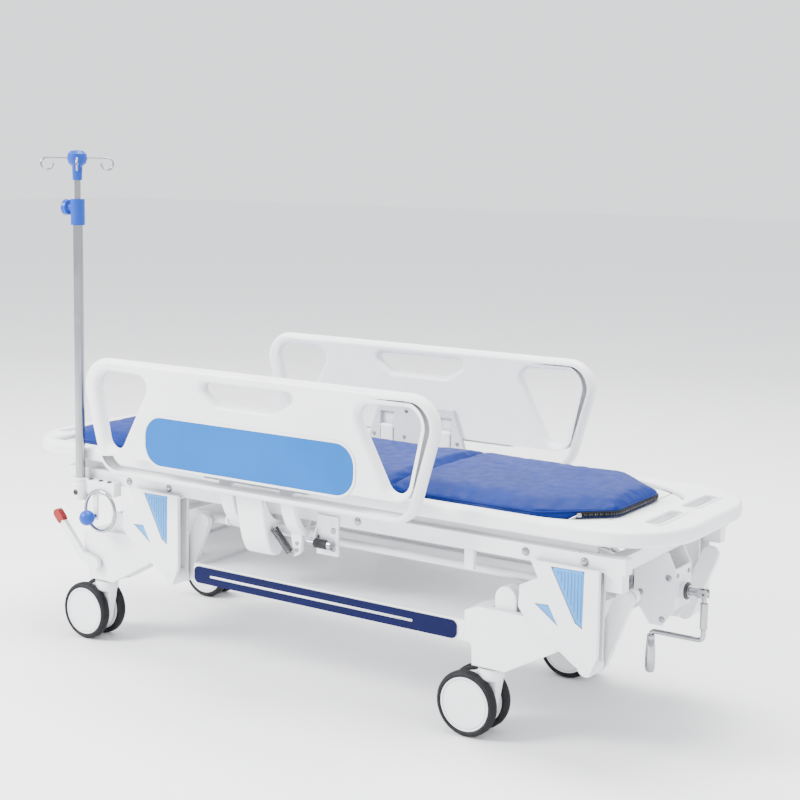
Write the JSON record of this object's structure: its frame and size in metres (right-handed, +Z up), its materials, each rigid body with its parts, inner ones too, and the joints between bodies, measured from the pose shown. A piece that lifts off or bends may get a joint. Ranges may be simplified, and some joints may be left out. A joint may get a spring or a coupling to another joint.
{
  "type": "stretcher trolley",
  "caption": "Hospital stretcher trolley: moulded deck with a raising backrest on a crank-lifted frame, folding side rails, IV pole and swivel casters.",
  "frame": {"origin": "middle of the deck in plan, at floor height", "axes": "+X towards the foot end, +Y towards the far side, +Z up"},
  "size_m": [1.896, 0.77, 1.286],
  "materials": {
    "white_plastic": "satin",
    "white_paint": "satin",
    "grey_plastic": "satin",
    "navy_strip": "satin",
    "sky_blue": "glossy",
    "rail_blue": "glossy",
    "mattress_blue": "matte",
    "steel": "brushed",
    "black_metal": "satin",
    "wheel_grey": "satin",
    "tyre": "matte",
    "red_plastic": "glossy",
    "blue_plastic": "glossy"
  },
  "bodies": {
    "base": {"base_frame": "white_paint", "base_cover": "white_plastic", "base_trims": "navy_strip", "lever_pins": "steel"},
    "swivel_head_near": {"caster_body_head_near": "white_plastic"},
    "wheels_head_near": {"caster_wheels_head_near": "wheel_grey", "caster_tyres_head_near": "tyre"},
    "swivel_head_far": {"caster_body_head_far": "white_plastic"},
    "wheels_head_far": {"caster_wheels_head_far": "wheel_grey", "caster_tyres_head_far": "tyre"},
    "swivel_foot_near": {"caster_body_foot_near": "white_plastic"},
    "wheels_foot_near": {"caster_wheels_foot_near": "wheel_grey", "caster_tyres_foot_near": "tyre"},
    "swivel_foot_far": {"caster_body_foot_far": "white_plastic"},
    "wheels_foot_far": {"caster_wheels_foot_far": "wheel_grey", "caster_tyres_foot_far": "tyre"},
    "brake": {"brake_pedal": "white_paint", "brake_pedal_tip": "red_plastic"},
    "lever_foot": {"lift_lever_foot": "white_paint"},
    "lever_head": {"lift_lever_head": "white_paint"},
    "rod": {"pull_rod": "white_paint"},
    "frame": {"upper_frame": "white_paint", "v_plates_foot": "white_paint", "v_plates_head": "white_paint", "v_inserts": "sky_blue", "deck_surround": "white_plastic", "foot_panel": "white_plastic", "deck_spacers": "white_plastic", "frame_bolts": "steel", "crank_bracket": "white_paint", "iv_bracket": "white_paint", "holder_ring": "steel", "holder_knob": "blue_plastic", "rail_latch_tube_near": "black_metal", "rail_latch_tube_far": "black_metal", "mattress_foot": "mattress_blue"},
    "screw": {"lift_screw": "steel"},
    "nut": {"lift_nut": "steel"},
    "handle": {"crank_arm": "steel"},
    "grip": {"crank_grip": "steel"},
    "backrest": {"backrest_panel": "white_plastic", "backrest_hinge_pins": "steel", "mattress_back": "mattress_blue"},
    "back_spring_tube": {"backrest_spring_tube": "black_metal"},
    "back_spring_rod": {"backrest_spring_rod": "steel"},
    "arms_near": {"rail_arms_near": "white_paint"},
    "rail_near": {"rail_shell_near": "white_plastic", "rail_panel_near": "rail_blue", "rail_cover_near": "grey_plastic"},
    "latch_near": {"rail_latch_pin_near": "steel"},
    "arms_far": {"rail_arms_far": "white_paint"},
    "rail_far": {"rail_shell_far": "white_plastic", "rail_panel_far": "rail_blue", "rail_cover_far": "grey_plastic"},
    "latch_far": {"rail_latch_pin_far": "steel"},
    "iv_pole": {"iv_tube": "steel", "iv_clamp": "blue_plastic"},
    "iv_top": {"iv_rod": "steel", "iv_hub": "blue_plastic", "iv_hooks": "steel"}
  },
  "joints": [
    {"name": "lift", "type": "hinge", "parent": "base", "child": "lever_foot", "pos_m": [0.568, 0, 0.325], "axis": [0, -1, 0], "range_deg": [0, 100]},
    {"name": "lever_head_turn", "type": "hinge", "parent": "base", "child": "lever_head", "pos_m": [-0.594, 0, 0.325], "axis": [0, -1, 0], "range_deg": [-0.5, 100.5]},
    {"name": "frame_level", "type": "hinge", "parent": "lever_foot", "child": "frame", "pos_m": [0.78264, 0, 0.22216], "axis": [0, -1, 0], "range_deg": [-100.5, 0.5]},
    {"name": "pull_rod_turn", "type": "hinge", "parent": "lever_foot", "child": "rod", "pos_m": [0.84064, -0.196, 0.36416], "axis": [0, -1, 0], "range_deg": [-100.5, 0.5]},
    {"name": "swivel_head_near", "type": "hinge", "parent": "base", "child": "swivel_head_near", "pos_m": [-0.652, -0.24, 0.165], "axis": [0, 0, 1], "continuous": true},
    {"name": "roll_head_near", "type": "hinge", "parent": "swivel_head_near", "child": "wheels_head_near", "pos_m": [-0.697, -0.24, 0.075], "axis": [0, 1, 0], "continuous": true},
    {"name": "swivel_head_far", "type": "hinge", "parent": "base", "child": "swivel_head_far", "pos_m": [-0.652, 0.24, 0.165], "axis": [0, 0, 1], "continuous": true},
    {"name": "roll_head_far", "type": "hinge", "parent": "swivel_head_far", "child": "wheels_head_far", "pos_m": [-0.697, 0.24, 0.075], "axis": [0, 1, 0], "continuous": true},
    {"name": "swivel_foot_near", "type": "hinge", "parent": "base", "child": "swivel_foot_near", "pos_m": [0.528, -0.24, 0.165], "axis": [0, 0, 1], "continuous": true},
    {"name": "roll_foot_near", "type": "hinge", "parent": "swivel_foot_near", "child": "wheels_foot_near", "pos_m": [0.483, -0.24, 0.075], "axis": [0, 1, 0], "continuous": true},
    {"name": "swivel_foot_far", "type": "hinge", "parent": "base", "child": "swivel_foot_far", "pos_m": [0.528, 0.24, 0.165], "axis": [0, 0, 1], "continuous": true},
    {"name": "roll_foot_far", "type": "hinge", "parent": "swivel_foot_far", "child": "wheels_foot_far", "pos_m": [0.483, 0.24, 0.075], "axis": [0, 1, 0], "continuous": true},
    {"name": "brake_turn", "type": "hinge", "parent": "base", "child": "brake", "pos_m": [-0.652, -0.27, 0.211], "axis": [0, 1, 0], "range_deg": [-18, 18]},
    {"name": "crank_turn", "type": "hinge", "parent": "frame", "child": "screw", "pos_m": [0.838, 0, 0.338], "axis": [1, 0, 0], "range_deg": [-90, 90]},
    {"name": "crank_fold", "type": "hinge", "parent": "screw", "child": "handle", "pos_m": [0.923, 0, 0.338], "axis": [0, -1, 0], "range_deg": [0, 90]},
    {"name": "grip_spin", "type": "hinge", "parent": "handle", "child": "grip", "pos_m": [0.799, 0, 0.19], "axis": [0, 0, 1], "continuous": true},
    {"name": "nut_travel", "type": "slide", "parent": "frame", "child": "nut", "axis": [-1, 0, 0], "range_m": [-0.001, 0.091]},
    {"name": "backrest_fold", "type": "hinge", "parent": "frame", "child": "backrest", "pos_m": [0.238, 0, 0.494], "axis": [0, 1, 0], "range_deg": [0, 75]},
    {"name": "backrest_spring_turn", "type": "hinge", "parent": "frame", "child": "back_spring_tube", "pos_m": [0.234, 0, 0.445], "axis": [0, 1, 0], "range_deg": [-0.5, 73]},
    {"name": "backrest_spring_stroke", "type": "slide", "parent": "back_spring_tube", "child": "back_spring_rod", "axis": [-1, 0, 0], "range_m": [-0.001, 0.0525]},
    {"name": "rail_fold_near", "type": "hinge", "parent": "frame", "child": "arms_near", "pos_m": [-0.062, -0.276, 0.395], "axis": [1, 0, 0], "range_deg": [0, 126]},
    {"name": "rail_level_near", "type": "hinge", "parent": "arms_near", "child": "rail_near", "pos_m": [-0.062, -0.34, 0.545], "axis": [1, 0, 0], "range_deg": [-126.5, 0.5]},
    {"name": "latch_near", "type": "slide", "parent": "frame", "child": "latch_near", "axis": [1, 0, 0], "range_m": [0, 0.012], "stiffness_N_per_m": 900, "springref_m": -0.004},
    {"name": "rail_fold_far", "type": "hinge", "parent": "frame", "child": "arms_far", "pos_m": [-0.062, 0.276, 0.395], "axis": [-1, 0, 0], "range_deg": [0, 126]},
    {"name": "rail_level_far", "type": "hinge", "parent": "arms_far", "child": "rail_far", "pos_m": [-0.062, 0.34, 0.545], "axis": [-1, 0, 0], "range_deg": [-126.5, 0.5]},
    {"name": "latch_far", "type": "slide", "parent": "frame", "child": "latch_far", "axis": [1, 0, 0], "range_m": [0, 0.012], "stiffness_N_per_m": 900, "springref_m": -0.004},
    {"name": "iv_turn", "type": "hinge", "parent": "frame", "child": "iv_pole", "pos_m": [-0.682, -0.302, 0.8], "axis": [0, 0, 1], "continuous": true},
    {"name": "iv_height", "type": "slide", "parent": "iv_pole", "child": "iv_top", "axis": [0, 0, 1], "range_m": [0, 0.33]}
  ],
  "couplings": [
    {"joint": "lever_head_turn", "follows": "lift", "ratio": 1},
    {"joint": "frame_level", "follows": "lift", "ratio": -1},
    {"joint": "pull_rod_turn", "follows": "lift", "ratio": -1},
    {"joint": "nut_travel", "follows": "lift", "m_per_rad": 0.051566},
    {"joint": "backrest_spring_turn", "follows": "backrest_fold", "ratio": 0.952},
    {"joint": "backrest_spring_stroke", "follows": "backrest_fold", "m_per_rad": 0.03919},
    {"joint": "rail_level_near", "follows": "rail_fold_near", "ratio": -1},
    {"joint": "rail_level_far", "follows": "rail_fold_far", "ratio": -1}
  ]
}
